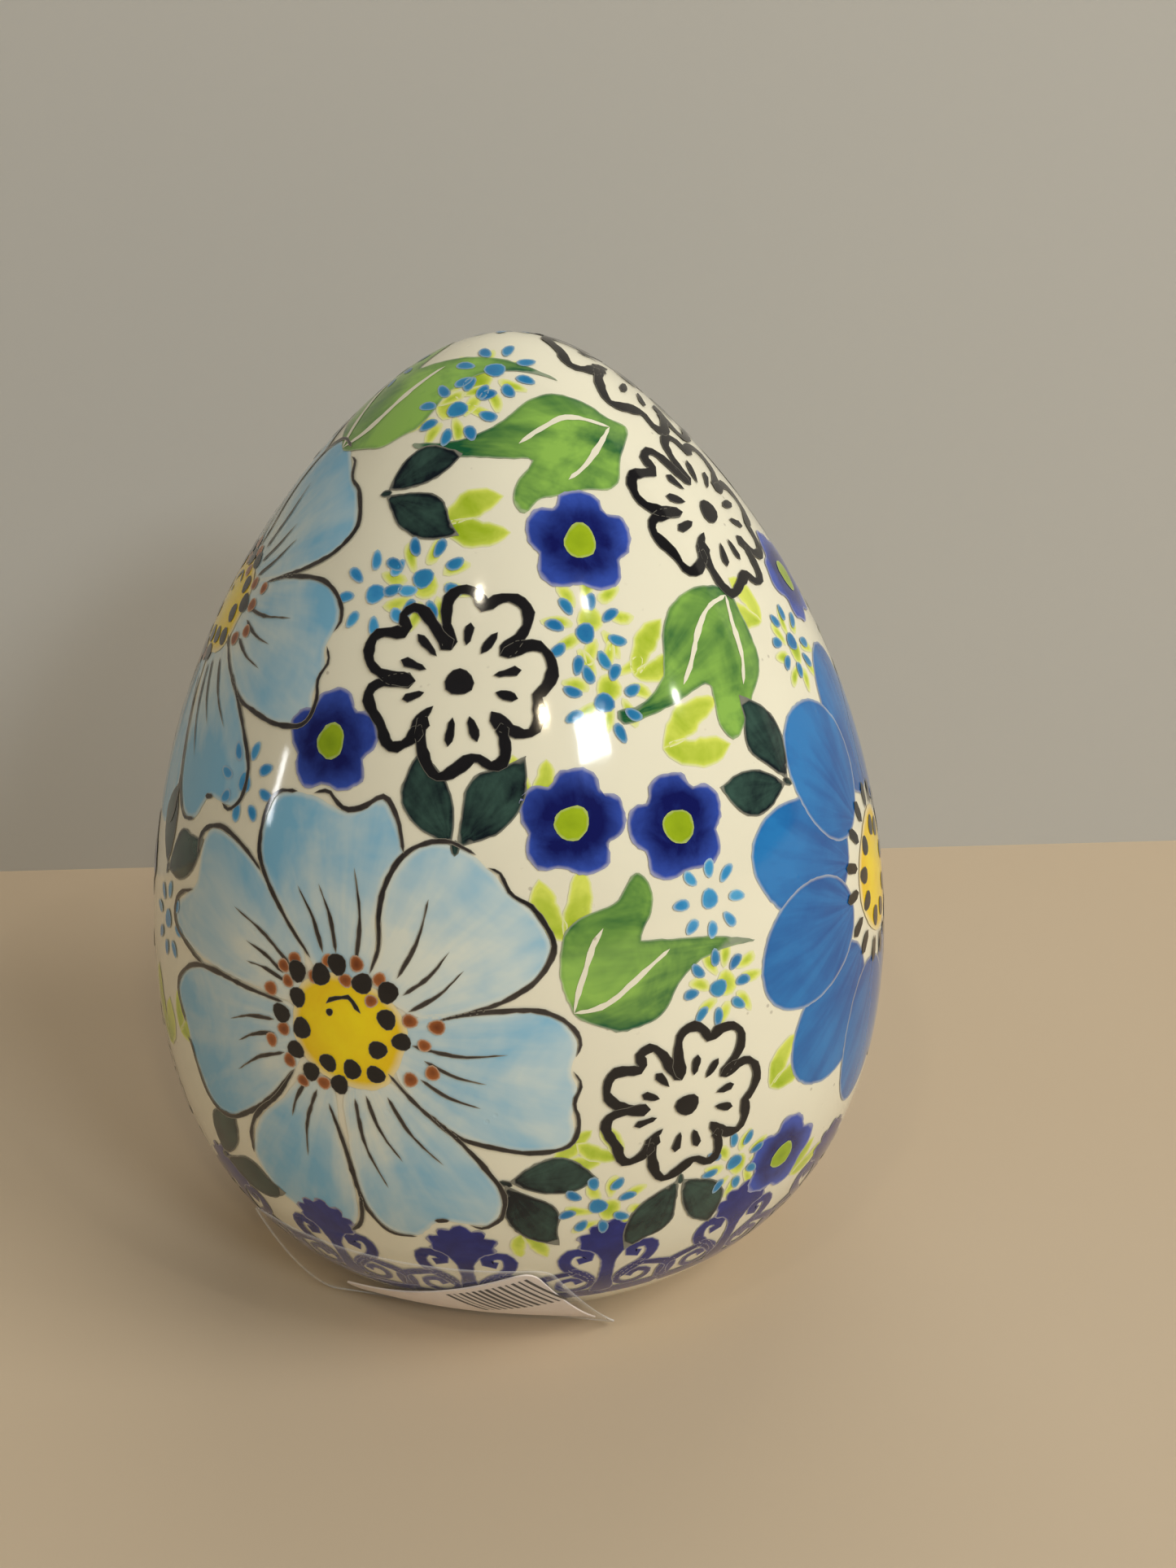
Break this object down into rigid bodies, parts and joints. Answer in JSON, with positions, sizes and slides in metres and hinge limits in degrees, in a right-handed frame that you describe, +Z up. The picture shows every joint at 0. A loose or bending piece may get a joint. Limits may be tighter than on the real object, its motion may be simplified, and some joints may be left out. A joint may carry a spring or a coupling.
{
  "type": "decorated ceramic egg",
  "caption": "Hollow glazed stoneware egg on a flat foot, hand painted all over with flowers, leaves and a lace border, with a paper label under clear film low on the front.",
  "frame": {"origin": "centre of the flat foot, on the surface the egg stands on", "axes": "+Z up along the egg's axis to its narrow end; -Y towards the front, where the label is; +X to the right seen from the front"},
  "size_m": [0.1008, 0.1008, 0.127],
  "materials": {
    "painted_glaze": "gloss",
    "label_paper": "matte",
    "clear_film": "gloss"
  },
  "bodies": {
    "root": {"egg_shell": "painted_glaze", "shelf_label": "label_paper", "clear_film": "clear_film"}
  },
  "joints": []
}
